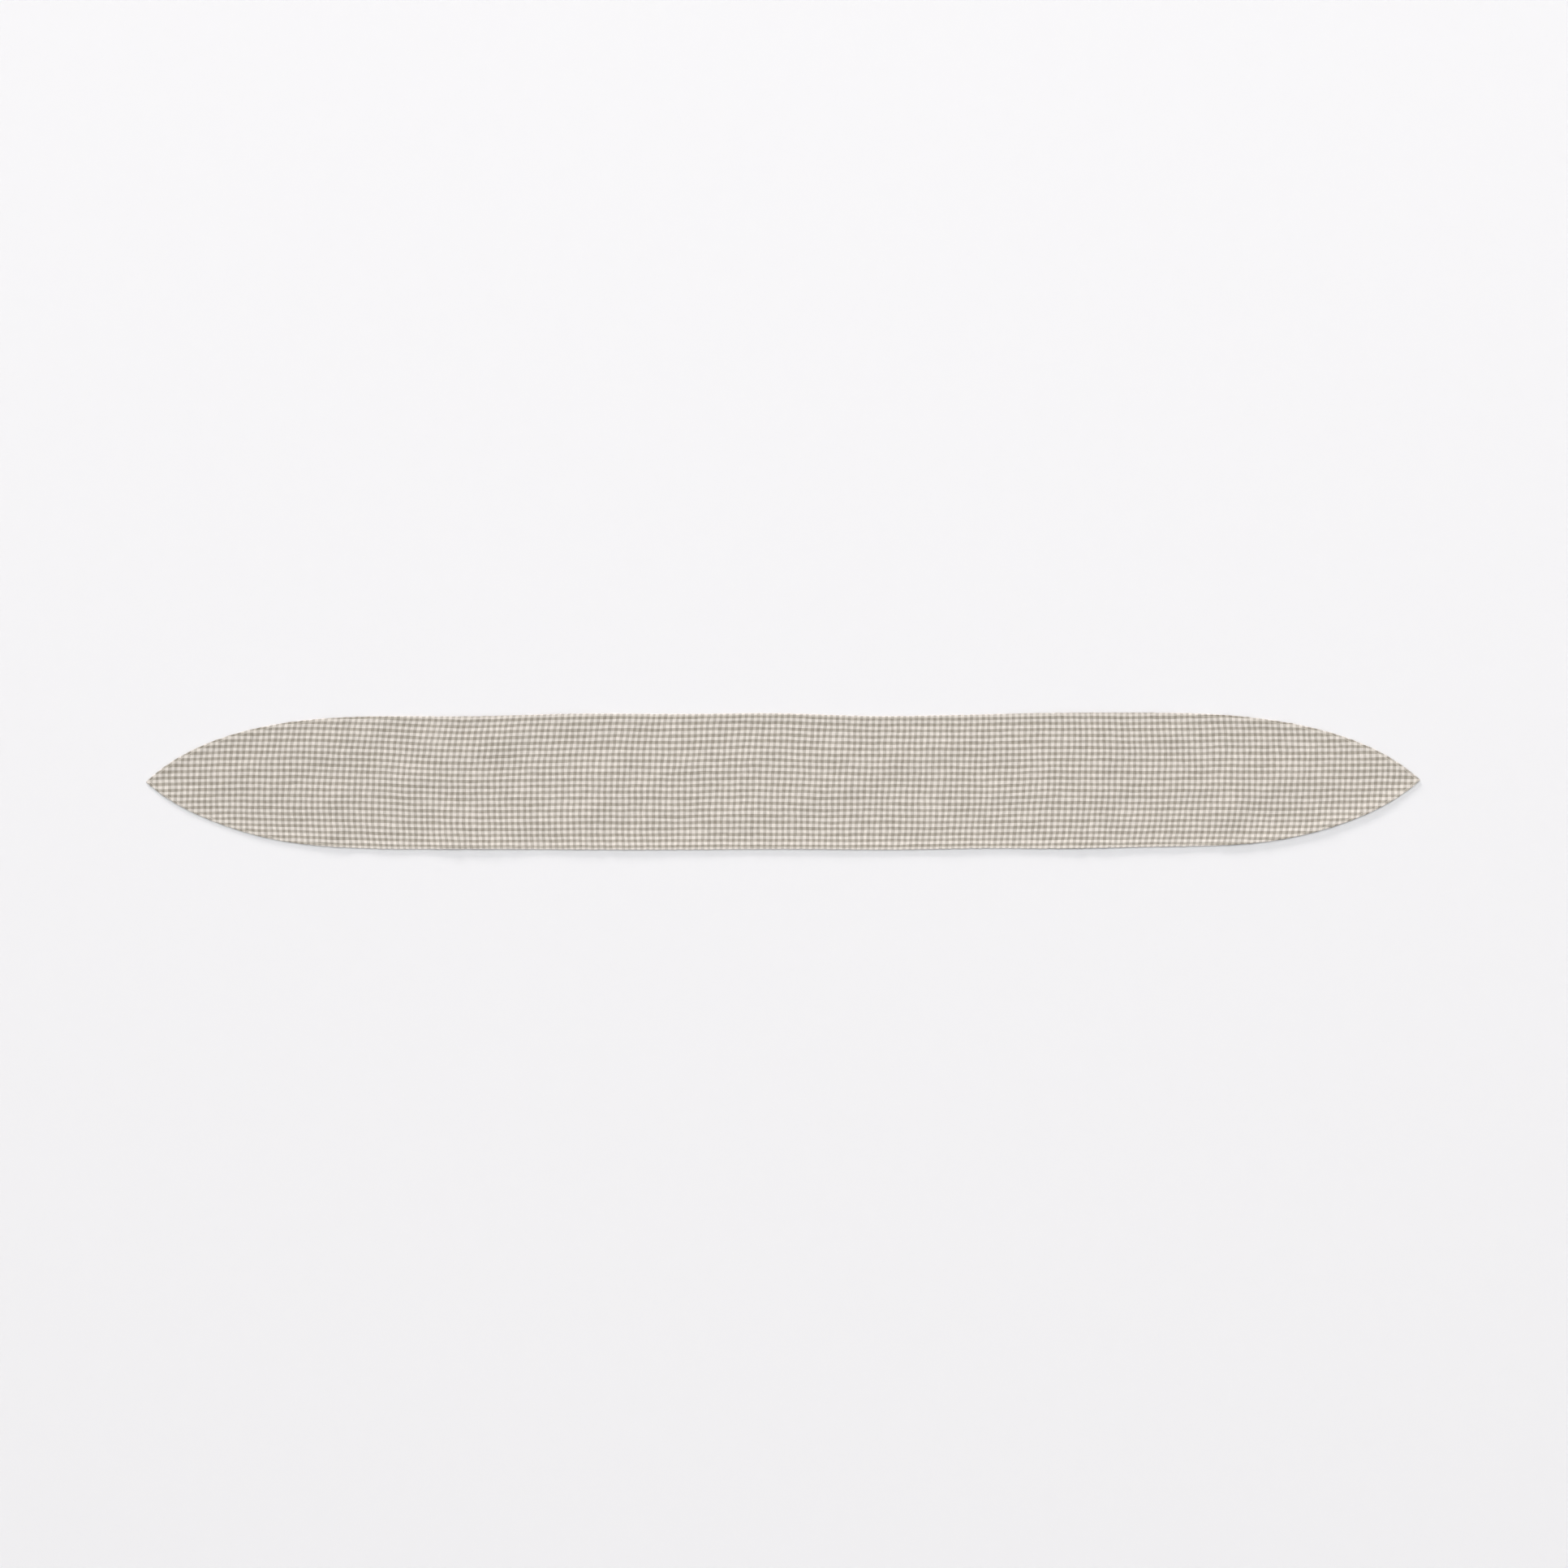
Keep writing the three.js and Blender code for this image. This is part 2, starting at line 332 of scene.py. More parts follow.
def ring_faces(row_count):
    """Quads between the rings of one ply, each ring 4 * STATIONS points long."""
    count = 4 * STATIONS
    i = np.arange(count)
    j = (i + 1) % count
    starts = np.arange(row_count - 1)[:, None] * count
    return np.stack([starts + count + i, starts + count + j, starts + j, starts + i], axis=2).reshape(-1, 4)


def middle_faces(ring_start, middle_start):
    """Quads and tip triangles that fill a ring across its columns, facing up."""
    count = 4 * STATIONS
    last = 2 * STATIONS - 1
    grid = np.empty((last, ACROSS_CELLS + 1), int)
    grid[:, 0] = ring_start + np.arange(1, last + 1)
    grid[:, -1] = ring_start + count - np.arange(1, last + 1)
    grid[:, 1:-1] = middle_start + np.arange(last * (ACROSS_CELLS - 1)).reshape(last, -1)
    quads = np.stack([grid[:-1, :-1], grid[1:, :-1], grid[1:, 1:], grid[:-1, 1:]], axis=2)
    quads = quads.reshape(-1, 4)
    tips = [(ring_start, a, b) for a, b in zip(grid[0, :-1], grid[0, 1:])]
    far_tip = ring_start + 2 * STATIONS
    tips += [(far_tip, b, a) for a, b in zip(grid[-1, :-1], grid[-1, 1:])]
    return quads, tips


def grain_of(cloth):
    """Where each point of a ply lies in the woven cloth, in metres along and across it."""
    x, y = cloth.T
    side = y / HALF_WIDTH
    shift = between(x, COLUMN_DRIFT) + between(x, COLUMN_LAG) * side ** 2 + COLUMN_LEAN * side
    beside = np.clip(side ** 2, 0, 1)
    outer = np.where(y > 0, between(x, FAR_SWAY), between(x, NEAR_SWAY))
    sway = between(x, MIDDLE_SWAY) * (1 - beside) + outer * beside
    sway = sway - np.where(y > 0, EDGE_ROWS[1], EDGE_ROWS[0]) * side ** 9
    return np.stack([x - shift * MM, y - sway * MM], axis=1)


# The bake map holds the side that shows in three strips, one above the other, so that
# the check stays sharp, and the side that doesn't in a narrow band above them.
STRIPS = 3
STRIP_LENGTH = 2 * HALF_LENGTH / STRIPS
BAKE_MARGIN = 10 * MM
BAKE_SIDE = STRIP_LENGTH + 2 * BAKE_MARGIN
STRIP_PITCH = 2 * HALF_WIDTH + 8 * MM
HIDDEN_LENGTH = 0.33
HIDDEN_HEIGHT = 0.07
TURNED_SHARE = 0.25  # of the turned-in cloth's width


def bake_corners(places, order, counts, shows):
    """Corner positions in the bake map, for faces listed corner by corner."""
    x, y = places[order].T
    first = np.concatenate([[0], np.cumsum(counts)[:-1]])
    middle = np.add.reduceat(x, first) / counts
    strip = np.clip((middle + HALF_LENGTH) // STRIP_LENGTH, 0, STRIPS - 1)
    strip, shown = np.repeat(strip, counts), np.repeat(shows, counts)
    u = np.where(shown, x + HALF_LENGTH - strip * STRIP_LENGTH, (x + HALF_LENGTH) * HIDDEN_LENGTH)
    band = STRIPS * STRIP_PITCH + (y + HALF_WIDTH) * HIDDEN_HEIGHT
    v = np.where(shown, y + (strip + 0.5) * STRIP_PITCH, band + 2 * MM)
    return np.stack([u + BAKE_MARGIN, v], axis=1) / BAKE_SIDE


def build_ply(name, skin, up):
    """One ply of cloth as a closed shell, laid on the table."""
    section = ply_section(skin, up)
    plan, height, cloth, bake = [], [], [], []
    for inset, level, run, shown in section:
        line = ring(inset * MM)
        plan.append(line)
        height.append(np.full(len(line), level * MM))
        cloth.append(ring(run * MM))
        turned = min(run, 0) * TURNED_SHARE - (0 if shown or run > 0 else 1)
        bake.append(ring((max(run, 0) + turned) * MM))
    for inset, level, run, shown in (section[0], section[-1]):
        middle = columns_of(ring(inset * MM))
        height.append(np.full(len(middle), level * MM))
        for places in (plan, cloth, bake):
            places.append(middle)
    plan, cloth, bake = np.vstack(plan), np.vstack(cloth), np.vstack(bake)
    height = np.concatenate(height)

    count = 4 * STATIONS
    middle_start = len(section) * count
    middle_size = (2 * STATIONS - 1) * (ACROSS_CELLS - 1)
    rings = ring_faces(len(section))
    outer, outer_tips = middle_faces(0, middle_start)
    inner, inner_tips = middle_faces((len(section) - 1) * count, middle_start + middle_size)
    quads = np.concatenate([rings, outer, inner[:, ::-1]])
    tips = np.array(outer_tips + [tip[::-1] for tip in inner_tips])
    ring_shows = np.repeat([row[3] for row in section[1:]], count)
    shows = np.concatenate([ring_shows, np.ones(len(outer), bool), np.zeros(len(inner), bool),
                            np.ones(len(outer_tips), bool), np.zeros(len(inner_tips), bool)])
    if up < 0:
        quads, tips = quads[:, ::-1], tips[:, ::-1]

    mesh = bpy.data.meshes.new(name)
    mesh.from_pydata(lay(plan[:, 0], plan[:, 1], height).tolist(), [], quads.tolist() + tips.tolist())
    order = np.concatenate([quads.ravel(), tips.ravel()])
    counts = np.repeat([4, 3], [len(quads), len(tips)])
    mesh.uv_layers.new(name="grain").data.foreach_set("uv", grain_of(cloth)[order].ravel())
    corners = bake_corners(bake, order, counts, shows)
    mesh.uv_layers.new(name="OFBake").data.foreach_set("uv", corners.ravel())
    mesh.polygons.foreach_set("use_smooth", np.ones(len(counts), bool))
    mesh.update()
    piece = bpy.data.objects.new(name, mesh)
    bpy.context.collection.objects.link(piece)
    return piece


def linear(hex_colour):
    """An sRGB hex colour as linear RGBA."""
    values = [int(hex_colour[i:i + 2], 16) / 255 for i in (1, 3, 5)]
    return tuple(v / 12.92 if v <= 0.04045 else ((v + 0.055) / 1.055) ** 2.4 for v in values) + (1,)


def add(tree, kind, inputs=(), **settings):
    """Adds one node with its settings, and fills its inputs with values or links."""
    made = tree.nodes.new(kind)
    for key, value in settings.items():
        setattr(made, key, value)
    for key, value in dict(inputs).items():
        if isinstance(value, bpy.types.NodeSocket):
            tree.links.new(value, made.inputs[key])
        else:
            made.inputs[key].default_value = value
    return made


def start_material(name):
    """A material whose surface is one Principled shader, with nothing set on it yet."""
    material = bpy.data.materials.new(name)
    material.use_nodes = True
    tree = material.node_tree
    tree.nodes.clear()
    shader = add(tree, "ShaderNodeBsdfPrincipled")
    add(tree, "ShaderNodeOutputMaterial", {"Surface": shader.outputs[0]})
    return material, tree, shader


# Yarn-dyed cotton gingham in plain weave: where stone yarns cross stone the square is
# stone, cream on cream is cream, and a mixed square is darker where the stone yarns run
# along the runner, since those stand prouder. No two stripes are quite as wide or as dark,
# and the colour is drawn darker towards -X. It is matt, with a faint fuzz. The yarns are
# 0.35 mm in the real cloth and are drawn 1.1 mm wide, six to a stripe, so that they show.
# Pattern scales below are counts in a metre: 900 is the slubs of one drawn yarn, 150 is one
# stripe, 75 is a pair of stripes, and 12 to 130 are pulls and patches of 80 down to 8 mm.
CREAM_SQUARE = "#E8E1D9"
STONE_ALONG = "#B9B2A7"
STONE_ACROSS = "#C8C1B8"
STONE_SQUARE = "#989185"
YARN = 1.1 * MM


def gingham(name):
    material, tree, shader = start_material(name)
    grain = add(tree, "ShaderNodeUVMap", uv_map="grain").outputs[0]
    place = grain
    for scale, along, across in ((12, 5.0, 2.2), (40, 2.4, 1.0), (110, 0.9, 0.5)):
        wavy = add(tree, "ShaderNodeTexNoise", {"Vector": grain, "Scale": scale, "Detail": 0})
        centred = add(tree, "ShaderNodeVectorMath", {0: wavy.outputs["Color"], 1: (0.5, 0.5, 0.5)},
                      operation="SUBTRACT").outputs[0]
        pulled = add(tree, "ShaderNodeVectorMath", {0: centred, 1: (along * MM, across * MM, 0)},
                     operation="MULTIPLY").outputs[0]
        place = add(tree, "ShaderNodeVectorMath", {0: place, 1: pulled}).outputs[0]
    axes = add(tree, "ShaderNodeSeparateXYZ", {0: place}).outputs
    patchy = add(tree, "ShaderNodeTexNoise", {"Vector": grain, "Scale": 130, "Detail": 1}).outputs["Fac"]
    stripe, slub, crown, dye = [], [], [], []
    for axis, repeat, stretch, run in ((0, LENGTHWISE_REPEAT, (900, 22, 1), (150, 14, 1)),
                                       (1, CROSSWISE_REPEAT, (22, 900, 1), (14, 75, 1))):
        turn = add(tree, "ShaderNodeMath", {0: axes[axis], 1: 2 * math.pi / repeat},
                   operation="MULTIPLY").outputs[0]
        wave = add(tree, "ShaderNodeMath", {0: turn}, operation="COSINE").outputs[0]
        band = add(tree, "ShaderNodeMapping", {"Vector": place, "Scale": run}).outputs[0]
        varied = add(tree, "ShaderNodeTexNoise", {"Vector": band, "Scale": 1, "Detail": 1}).outputs["Fac"]
        reach = add(tree, "ShaderNodeMapRange", {0: varied, 1: 0.3, 2: 0.7, 3: -0.1, 4: 1.1}).outputs[0]
        stripe.append(add(tree, "ShaderNodeMath", {0: wave, 1: -3, 2: reach},
                          operation="MULTIPLY_ADD", use_clamp=True).outputs[0])
        taken = add(tree, "ShaderNodeMath", {0: varied, 1: patchy}).outputs[0]
        dye.append(add(tree, "ShaderNodeMapRange", {0: taken, 1: 0.7, 2: 1.3, 3: 0.79, 4: 1.13}).outputs[0])
        drawn = add(tree, "ShaderNodeMapping", {"Vector": place, "Scale": stretch}).outputs[0]
        thick = add(tree, "ShaderNodeTexNoise", {"Vector": drawn, "Scale": 1, "Detail": 2})
        slub.append(thick.outputs["Fac"])
        pitch = add(tree, "ShaderNodeMath", {0: axes[axis], 1: math.pi / YARN},
                    operation="MULTIPLY").outputs[0]
        crown.append(add(tree, "ShaderNodeMath", {0: pitch}, operation="SINE").outputs[0])
    over = add(tree, "ShaderNodeMath", {0: crown[0], 1: crown[1]}, operation="MULTIPLY").outputs[0]
    less = add(tree, "ShaderNodeMath", {0: over, 1: -0.3, 2: dye[0]}, operation="MULTIPLY_ADD").outputs[0]
    more = add(tree, "ShaderNodeMath", {0: over, 1: 0.3, 2: dye[1]}, operation="MULTIPLY_ADD").outputs[0]
    across = add(tree, "ShaderNodeMath", {0: stripe[0], 1: less},
                 operation="MULTIPLY", use_clamp=True).outputs[0]
    along = add(tree, "ShaderNodeMath", {0: stripe[1], 1: more},
                operation="MULTIPLY", use_clamp=True).outputs[0]
    between_rows = add(tree, "ShaderNodeMix", {0: across, 6: linear(CREAM_SQUARE), 7: linear(STONE_ACROSS)},
                       data_type="RGBA").outputs[2]
    in_rows = add(tree, "ShaderNodeMix", {0: across, 6: linear(STONE_ALONG), 7: linear(STONE_SQUARE)},
                  data_type="RGBA").outputs[2]
    woven = add(tree, "ShaderNodeMix", {0: along, 6: between_rows, 7: in_rows}, data_type="RGBA").outputs[2]
    mottle = add(tree, "ShaderNodeTexNoise", {"Vector": grain, "Scale": 95, "Detail": 1}).outputs["Fac"]
    slubs = add(tree, "ShaderNodeMath", {0: slub[0], 1: slub[1]}).outputs[0]
    uneven = add(tree, "ShaderNodeMath", {0: mottle, 1: 0.9, 2: slubs}, operation="MULTIPLY_ADD").outputs[0]
    bright = add(tree, "ShaderNodeMapRange", {0: uneven, 1: 0.9, 2: 2.0, 3: 0.84, 4: 1.16}).outputs[0]
    # The colour is drawn about 4 per cent darker towards the -X end, from x = -0.4 m out to -1.3 m.
    roll = add(tree, "ShaderNodeSeparateXYZ", {0: grain}).outputs[0]
    darker_towards_minus_x = add(tree, "ShaderNodeMapRange", {0: roll, 1: -1.3, 2: -0.4, 3: 0.965, 4: 1.003}).outputs[0]
    shade = add(tree, "ShaderNodeMath", {0: bright, 1: darker_towards_minus_x}, operation="MULTIPLY").outputs[0]
    colour = add(tree, "ShaderNodeVectorMath", {0: woven, "Scale": shade}, operation="SCALE").outputs[0]
    tree.links.new(colour, shader.inputs["Base Color"])
    rough = add(tree, "ShaderNodeMapRange", {0: slubs, 1: 0.7, 2: 1.3, 3: 0.84, 4: 0.96}).outputs[0]
    tree.links.new(rough, shader.inputs["Roughness"])
    round_yarn = add(tree, "ShaderNodeMath", {0: over}, operation="ABSOLUTE").outputs[0]
    height = add(tree, "ShaderNodeMath", {0: slubs, 1: 0.6, 2: round_yarn},
                 operation="MULTIPLY_ADD").outputs[0]
    bump = add(tree, "ShaderNodeBump", {"Height": height, "Distance": 0.12 * MM, "Strength": 0.6})
    tree.links.new(bump.outputs[0], shader.inputs["Normal"])
    shader.inputs["Specular IOR Level"].default_value = 0.3
    shader.inputs["Sheen Weight"].default_value = 0.05
    shader.inputs["Sheen Roughness"].default_value = 0.5
    return material


CUT_LINE = ring((FOLD_INSET - FOLD_RADIUS * math.pi + FOLD_INSET - ALLOWANCE) * MM)

face = build_ply("face_cloth", face_top, 1)
face.data.materials.append(gingham("cotton_gingham_face"))
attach(face, "root")
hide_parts("face_panel")

# ---------------------------------------------------------------------------
# Backing panel
# The lower ply, cut from the same cloth. It lies on the table, and its edge is
# folded up and in, so the seam sits half way up the runner's edge.
# ---------------------------------------------------------------------------

backing = build_ply("backing_cloth", backing_under, -1)
backing.data.materials.append(gingham("cotton_gingham_backing"))
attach(backing, "root")
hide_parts("backing_panel")

# ---------------------------------------------------------------------------
# Seam and topstitching
# Both rows are lockstitch in cream spun polyester thread. The closing seam runs
# through the two folded allowances, out of sight, and stops at the turning gap.
# The topstitching goes through all four layers, with its needle thread on the
# face and its bobbin thread on the backing.
# ---------------------------------------------------------------------------

THREAD_RADIUS = 0.25 * MM
BOBBIN_RADIUS = 0.16 * MM
SEAM_THREAD_RADIUS = 0.045 * MM
STITCH_PITCH = 3 * MM
STITCH_LENGTH = 2.75 * MM
SEAM_PITCH = 2.5 * MM
SEAM_STITCH_LENGTH = 2.3 * MM
SEAM_INSET = 1.4          # these three in mm
NEEDLE_RISE = 0.12
BOBBIN_DROP = 0.18
GAP_LENGTH = 120 * MM
GAP_X = -160 * MM


def thread_material(name, colour):
    """Spun polyester thread: a matt pale line, a little hairy, that looks soft beside the
    cloth. Its fibres are finer than a stitch shows, so the noise is drawn at 0.4 mm."""
    material, tree, shader = start_material(name)
    place = add(tree, "ShaderNodeTexCoord").outputs["Object"]
    fibre = add(tree, "ShaderNodeTexNoise", {"Vector": place, "Scale": 2500, "Detail": 2}).outputs["Fac"]
    shade = add(tree, "ShaderNodeMapRange", {0: fibre, 1: 0.3, 2: 0.7, 3: 0.92, 4: 1.05}).outputs[0]
    tinted = add(tree, "ShaderNodeVectorMath", {0: linear(colour)[:3], "Scale": shade}, operation="SCALE")
    tree.links.new(tinted.outputs[0], shader.inputs["Base Color"])
    bump = add(tree, "ShaderNodeBump", {"Height": fibre, "Distance": 0.05 * MM, "Strength": 0.5})
    tree.links.new(bump.outputs[0], shader.inputs["Normal"])
    rough = add(tree, "ShaderNodeMapRange", {0: fibre, 1: 0.3, 2: 0.7, 3: 0.6, 4: 0.75}).outputs[0]
    tree.links.new(rough, shader.inputs["Roughness"])
    shader.inputs["Sheen Weight"].default_value = 0.1
    return material


def stitch_tree():
    """Geometry nodes that set one stitch at each pitch along a line."""
    tree = bpy.data.node_groups.new("lockstitch_row", "GeometryNodeTree")
    face_of = tree.interface
    face_of.new_socket("Geometry", in_out="INPUT", socket_type="NodeSocketGeometry")
    sizes = (("Pitch", 3 * MM), ("Length", 2.7 * MM), ("Thread Radius", 0.2 * MM), ("Crown", 0.2 * MM),
             ("Sink", 0.2 * MM), ("Sway", 0.06))
    for name, value in sizes:
        face_of.new_socket(name, in_out="INPUT", socket_type="NodeSocketFloat").default_value = value
    face_of.new_socket("Seed", in_out="INPUT", socket_type="NodeSocketInt").default_value = 3
    face_of.new_socket("Material", in_out="INPUT", socket_type="NodeSocketMaterial")
    face_of.new_socket("Geometry", in_out="OUTPUT", socket_type="NodeSocketGeometry")
    source = add(tree, "NodeGroupInput").outputs
    path = add(tree, "GeometryNodeMeshToCurve", {"Mesh": source["Geometry"]}).outputs[0]
    points = add(tree, "GeometryNodeResampleCurve", {"Curve": path, "Length": source["Pitch"]},
                 mode="LENGTH").outputs[0]
    half = add(tree, "ShaderNodeMath", {0: source["Length"], 1: 0.5}, operation="MULTIPLY").outputs[0]
    back = add(tree, "ShaderNodeMath", {0: half, 1: -1.0}, operation="MULTIPLY").outputs[0]
    below = add(tree, "ShaderNodeMath", {0: source["Sink"], 1: -1.0}, operation="MULTIPLY").outputs[0]
    start = add(tree, "ShaderNodeCombineXYZ", {0: back, 2: below}).outputs[0]
    middle = add(tree, "ShaderNodeCombineXYZ", {2: source["Crown"]}).outputs[0]
    end = add(tree, "ShaderNodeCombineXYZ", {0: half, 2: below}).outputs[0]
    arc = add(tree, "GeometryNodeCurveQuadraticBezier",
              {"Resolution": 5, "Start": start, "Middle": middle, "End": end}).outputs[0]
    section = add(tree, "GeometryNodeCurvePrimitiveCircle",
                  {"Resolution": 6, "Radius": source["Thread Radius"]}, mode="RADIUS").outputs[0]
    stitch = add(tree, "GeometryNodeCurveToMesh",
                 {"Curve": arc, "Profile Curve": section, "Fill Caps": True}).outputs[0]
    tangent = add(tree, "GeometryNodeInputTangent").outputs[0]
    facing = add(tree, "FunctionNodeAlignRotationToVector", {"Vector": tangent}, axis="X",
                 pivot_axis="Z").outputs[0]
    sway = add(tree, "FunctionNodeRandomValue",
               {2: 0.0, 3: source["Sway"], "Seed": source["Seed"]}, data_type="FLOAT").outputs[1]
    turn = add(tree, "ShaderNodeCombineXYZ", {2: sway}).outputs[0]
    swayed = add(tree, "FunctionNodeRotateRotation", {0: facing, 1: turn}, rotation_space="LOCAL").outputs[0]
    placed = add(tree, "GeometryNodeInstanceOnPoints",
                 {"Points": points, "Instance": stitch, "Rotation": swayed}).outputs[0]
    real = add(tree, "GeometryNodeRealizeInstances", {0: placed}).outputs[0]
    smooth = add(tree, "GeometryNodeSetShadeSmooth", {0: real}).outputs[0]
    dressed = add(tree, "GeometryNodeSetMaterial", {0: smooth, "Material": source["Material"]}).outputs[0]
    add(tree, "NodeGroupOutput", {0: dressed})
    return tree


LOCKSTITCH = stitch_tree()


def sew(name, line, closed, material, **sizes):
    """A row of stitches along a line of points, as one plain mesh."""
    count = len(line)
    edges = [(i, i + 1) for i in range(count - 1)]
    if closed:
        edges.append((count - 1, 0))
    path = bpy.data.meshes.new(name + "_path")
    path.from_pydata([tuple(p) for p in line], edges, [])
    row = bpy.data.objects.new(name + "_path", path)
    bpy.context.collection.objects.link(row)
    modifier = row.modifiers.new("stitches", "NODES")
    modifier.node_group = LOCKSTITCH
    sockets = {s.name: s.identifier for s in LOCKSTITCH.interface.items_tree if s.in_out == "INPUT"}
    for key, value in sizes.items():
        modifier[sockets[key.replace("_", " ").title()]] = value
    modifier[sockets["Material"]] = material
    depsgraph = bpy.context.evaluated_depsgraph_get()
    mesh = bpy.data.meshes.new_from_object(row.evaluated_get(depsgraph))
    bpy.data.objects.remove(row)
    mesh.name = name
    piece = bpy.data.objects.new(name, mesh)
    bpy.context.collection.objects.link(piece)
    return piece


def edge_row(inset, height):
    """Points of the laid runner all along one row of edge stitches. The inset and the
    height in the pressed runner are in mm."""
    line = ring(inset * MM)
    return lay(line[:, 0], line[:, 1], np.full(len(line), height * MM))


def open_row(inset, height):
    """The same, from one end of the turning gap round to the other."""
    line = ring(inset * MM)
    laid = lay(line[:, 0], line[:, 1], np.full(len(line), height * MM))
    in_gap = (line[:, 1] < 0) & (np.abs(line[:, 0] - GAP_X) < GAP_LENGTH / 2)
    last = np.nonzero(in_gap)[0][-1]
    first = np.nonzero(in_gap)[0][0]
    return np.vstack([laid[last + 1:], laid[:first]])


cream_thread = thread_material("spun_polyester_thread", "#EFE9DE")
seam_thread = thread_material("spun_polyester_seam_thread", "#EFE9DE")
needle_height = face_top(STITCH_INSET) + NEEDLE_RISE
bobbin_height = backing_under(STITCH_INSET) - BOBBIN_DROP
seam_height = SEAM_GAP / 2 + FOLD_RADIUS  # above and below the middle of the stack, inside each fold
topstitch_needle = sew("topstitch_needle_stitches", edge_row(STITCH_INSET, needle_height), True,
                       cream_thread, pitch=STITCH_PITCH, length=STITCH_LENGTH,
                       thread_radius=THREAD_RADIUS, crown=0.3 * MM, sink=0.3 * MM, seed=3)
topstitch_bobbin = sew("topstitch_bobbin_stitches", edge_row(STITCH_INSET, bobbin_height), True,
                       cream_thread, pitch=STITCH_PITCH, length=STITCH_LENGTH,
                       thread_radius=BOBBIN_RADIUS, crown=-0.1 * MM, sink=-0.2 * MM, seed=4)
seam_needle = sew("seam_needle_stitches", open_row(SEAM_INSET, STACK / 2 + seam_height), False,
                  seam_thread, pitch=SEAM_PITCH, length=SEAM_STITCH_LENGTH,
                  thread_radius=SEAM_THREAD_RADIUS, crown=0.01 * MM, sink=0.01 * MM, seed=5)
seam_bobbin = sew("seam_bobbin_stitches", open_row(SEAM_INSET, STACK / 2 - seam_height), False,
                  seam_thread, pitch=SEAM_PITCH, length=SEAM_STITCH_LENGTH,
                  thread_radius=SEAM_THREAD_RADIUS, crown=-0.01 * MM, sink=-0.01 * MM, seed=6)
for piece, node in ((topstitch_needle, "topstitch_needle_thread"),
                    (topstitch_bobbin, "topstitch_bobbin_thread")):
    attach(piece, "root")
    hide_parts(node)
for piece, node in ((seam_needle, "seam_needle_thread"), (seam_bobbin, "seam_bobbin_thread")):
    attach(piece, "root")
    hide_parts(node)

# ---------------------------------------------------------------------------
# Care label
# A short piece of woven satin ribbon, left blank, laid flat under one end of
# the backing and sewn down round all four sides with fine thread.
# ---------------------------------------------------------------------------

LABEL_THICKNESS = 0.15    # these three in mm
LABEL_DROP = 0.06         # its upper side, under the backing
LABEL_STITCH_DROP = 0.25
LABEL_CELL = 1.5 * MM
LABEL_STITCH_INSET = 2.5 * MM


def satin_label():
    """The ribbon as a closed thin shell that follows the backing."""
    across = round((label_high.y - label_low.y) / LABEL_CELL)
    along = round((label_high.x - label_low.x) / LABEL_CELL)
    x = np.linspace(label_low.x, label_high.x, along + 1)
    y = np.linspace(label_low.y, label_high.y, across + 1)
    px, py = (v.ravel() for v in np.meshgrid(x, y, indexing="ij"))
    upper = lay(px, py, np.full(len(px), -LABEL_DROP * MM))
    lower = lay(px, py, np.full(len(px), -(LABEL_DROP + LABEL_THICKNESS) * MM))
    count = len(px)
    index = np.arange(count).reshape(along + 1, across + 1)
    quads = np.stack([index[:-1, :-1], index[1:, :-1], index[1:, 1:], index[:-1, 1:]], axis=2)
    quads = quads.reshape(-1, 4)
    rim = np.concatenate([index[:-1, 0], index[-1, :-1], index[:0:-1, -1], index[0, :0:-1]])
    faces = [tuple(q) for q in quads] + [tuple(q[::-1] + count) for q in quads]
    faces += [(a, a + count, b + count, b) for a, b in zip(rim, np.roll(rim, -1))]
    mesh = bpy.data.meshes.new("satin_care_label")
    mesh.from_pydata(np.vstack([upper, lower]).tolist(), [], [tuple(int(i) for i in f) for f in faces])
    piece = bpy.data.objects.new("satin_care_label", mesh)
    bpy.context.collection.objects.link(piece)
    return piece


def satin(name):
    """Woven satin ribbon: smooth, off-white and slightly glossy, with fine ribs across it,
    drawn 1 mm apart so that they show."""
    material, tree, shader = start_material(name)
    place = add(tree, "ShaderNodeTexCoord").outputs["Object"]
    rib = add(tree, "ShaderNodeTexWave", {"Vector": place, "Scale": 320, "Distortion": 0.4}).outputs["Fac"]
    fibre = add(tree, "ShaderNodeTexNoise", {"Vector": place, "Scale": 900, "Detail": 2}).outputs["Fac"]
    shade = add(tree, "ShaderNodeMapRange", {0: fibre, 1: 0.3, 2: 0.7, 3: 0.96, 4: 1.02}).outputs[0]
    tinted = add(tree, "ShaderNodeVectorMath", {0: linear("#F4F1EA")[:3], "Scale": shade}, operation="SCALE")
    tree.links.new(tinted.outputs[0], shader.inputs["Base Color"])
    rough = add(tree, "ShaderNodeMapRange", {0: rib, 3: 0.3, 4: 0.42}).outputs[0]
    tree.links.new(rough, shader.inputs["Roughness"])
    bump = add(tree, "ShaderNodeBump", {"Height": rib, "Distance": 0.03 * MM, "Strength": 0.5})
    tree.links.new(bump.outputs[0], shader.inputs["Normal"])
    shader.inputs["Sheen Weight"].default_value = 0.2
    return material


def label_line():
    """The line of stitching just inside the label's four sides."""
    low_x, low_y = label_low.x + LABEL_STITCH_INSET, label_low.y + LABEL_STITCH_INSET
    high_x, high_y = label_high.x - LABEL_STITCH_INSET, label_high.y - LABEL_STITCH_INSET
    corners = np.array([(low_x, low_y), (high_x, low_y), (high_x, high_y), (low_x, high_y)])
    sides = [a + (b - a) * np.linspace(0, 1, 20)[:-1, None] for a, b in zip(corners, np.roll(corners, -1, 0))]
    line = np.concatenate(sides)
    return lay(line[:, 0], line[:, 1], np.full(len(line), -LABEL_STITCH_DROP * MM))


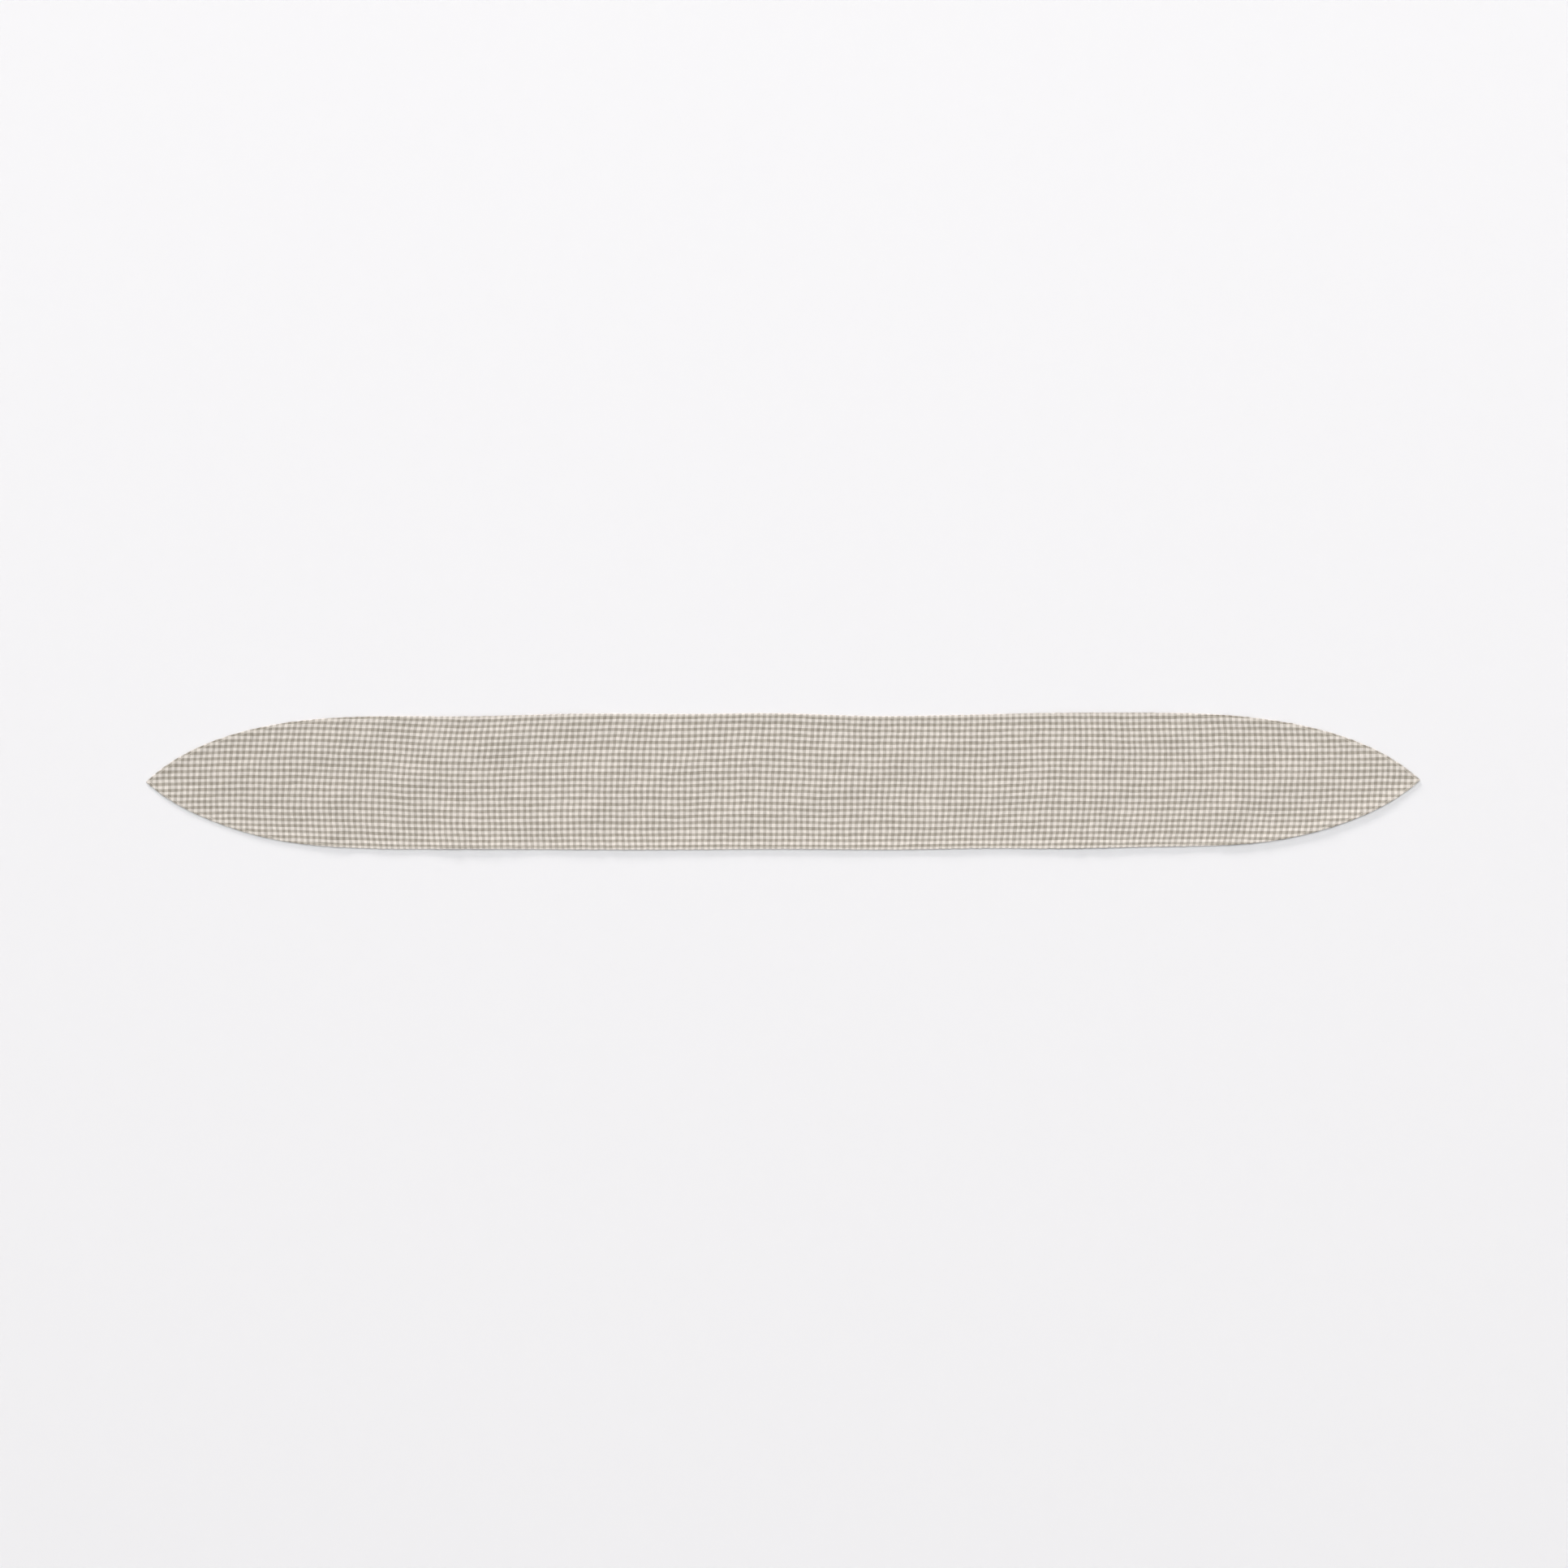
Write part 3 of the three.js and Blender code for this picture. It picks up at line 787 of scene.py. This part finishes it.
label = satin_label()
label.data.materials.append(satin("woven_satin_ribbon"))
fine_thread = thread_material("fine_label_thread", "#F2EFE8")
label_thread = sew("care_label_stitches", label_line(), True, fine_thread, pitch=2 * MM,
                   length=1.8 * MM, thread_radius=0.08 * MM, crown=-0.03 * MM, sink=-0.1 * MM, seed=8)
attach(label, "root")
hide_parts("care_label")
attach(label_thread, "root")
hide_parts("label_thread")

# ---------------------------------------------------------------------------
# Table, light and camera
# A plain pale table top. A wide soft light hangs overhead and beyond the runner,
# low soft daylight from its left gives the near edge a short shadow, and a dim
# reflector in front and the light of the room fill what they leave.
# ---------------------------------------------------------------------------

TABLE_SIDE = 60
ROOM_LIGHT = 0.27
PANEL_HEIGHT = 20.0
PANEL_BEYOND = 9.8
PANEL_SIDE = 13.0
PANEL_POWER = 3025
DAYLIGHT_POWER = 3.3
DAYLIGHT_ELEVATION = math.radians(10)
DAYLIGHT_TURN = math.radians(22)
REFLECTOR_POWER = 0.45
REFLECTOR_TILT = math.radians(65)
VIEW_WIDTH = 3.3718
CAMERA_HEIGHT = 9.0
CAMERA_PLACE = (1.7 * MM, -4 * MM)

table_mesh = bpy.data.meshes.new("table_top")
half_table = TABLE_SIDE / 2
table_corners = [(-half_table, -half_table, 0), (half_table, -half_table, 0), (half_table, half_table, 0),
                 (-half_table, half_table, 0)]
table_mesh.from_pydata(table_corners, [], [(0, 1, 2, 3)])
table_top = bpy.data.objects.new("table_top", table_mesh)
bpy.context.collection.objects.link(table_top)
# White acrylic sheet with a satin finish: it has no gloss, and light spreads 8 mm inside it,
# so that no bright line or hard shadow shows where the runner's edge meets it.
acrylic, _, acrylic_shader = start_material("satin_white_acrylic")
acrylic_shader.inputs["Base Color"].default_value = linear("#F4F4F6")
acrylic_shader.subsurface_method = "BURLEY"
acrylic_shader.inputs["Subsurface Weight"].default_value = 1.0
acrylic_shader.inputs["Subsurface Radius"].default_value = (1, 1, 1)
acrylic_shader.inputs["Subsurface Scale"].default_value = 8 * MM
acrylic_shader.inputs["Roughness"].default_value = 0.9
acrylic_shader.inputs["Specular IOR Level"].default_value = 0.1
table_mesh.materials.append(acrylic)

scene = bpy.context.scene
world = bpy.data.worlds.new("room_light")
world.use_nodes = True
world.node_tree.nodes["Background"].inputs["Color"].default_value = (1, 1, 1, 1)
world.node_tree.nodes["Background"].inputs["Strength"].default_value = ROOM_LIGHT
scene.world = world

panel_data = bpy.data.lights.new("overhead_panel", "AREA")
panel_data.shape = "SQUARE"
panel_data.size = PANEL_SIDE
panel_data.energy = PANEL_POWER
panel = bpy.data.objects.new("overhead_panel", panel_data)
panel.location = (0, PANEL_BEYOND, PANEL_HEIGHT)
panel.rotation_euler = (-math.atan2(PANEL_BEYOND, PANEL_HEIGHT), 0, 0)
bpy.context.collection.objects.link(panel)

daylight_data = bpy.data.lights.new("daylight", "SUN")
daylight_data.angle = math.radians(9)
daylight_data.energy = DAYLIGHT_POWER
daylight_data.color = (1, 0.94, 0.92)
daylight = bpy.data.objects.new("daylight", daylight_data)
daylight.rotation_euler = (DAYLIGHT_ELEVATION - math.pi / 2, 0, DAYLIGHT_TURN)
bpy.context.collection.objects.link(daylight)

reflector_data = bpy.data.lights.new("front_reflector", "SUN")
reflector_data.angle = math.radians(40)
reflector_data.energy = REFLECTOR_POWER
reflector = bpy.data.objects.new("front_reflector", reflector_data)
reflector.rotation_euler = (REFLECTOR_TILT, 0, 0)
bpy.context.collection.objects.link(reflector)

camera_data = bpy.data.cameras.new("camera")
camera_data.sensor_width = 36
camera_data.lens = 36 * CAMERA_HEIGHT / VIEW_WIDTH
camera_data.clip_end = 100
camera = bpy.data.objects.new("camera", camera_data)
camera.location = (*CAMERA_PLACE, CAMERA_HEIGHT)
bpy.context.collection.objects.link(camera)
scene.camera = camera
scene.view_settings.view_transform = "Standard"
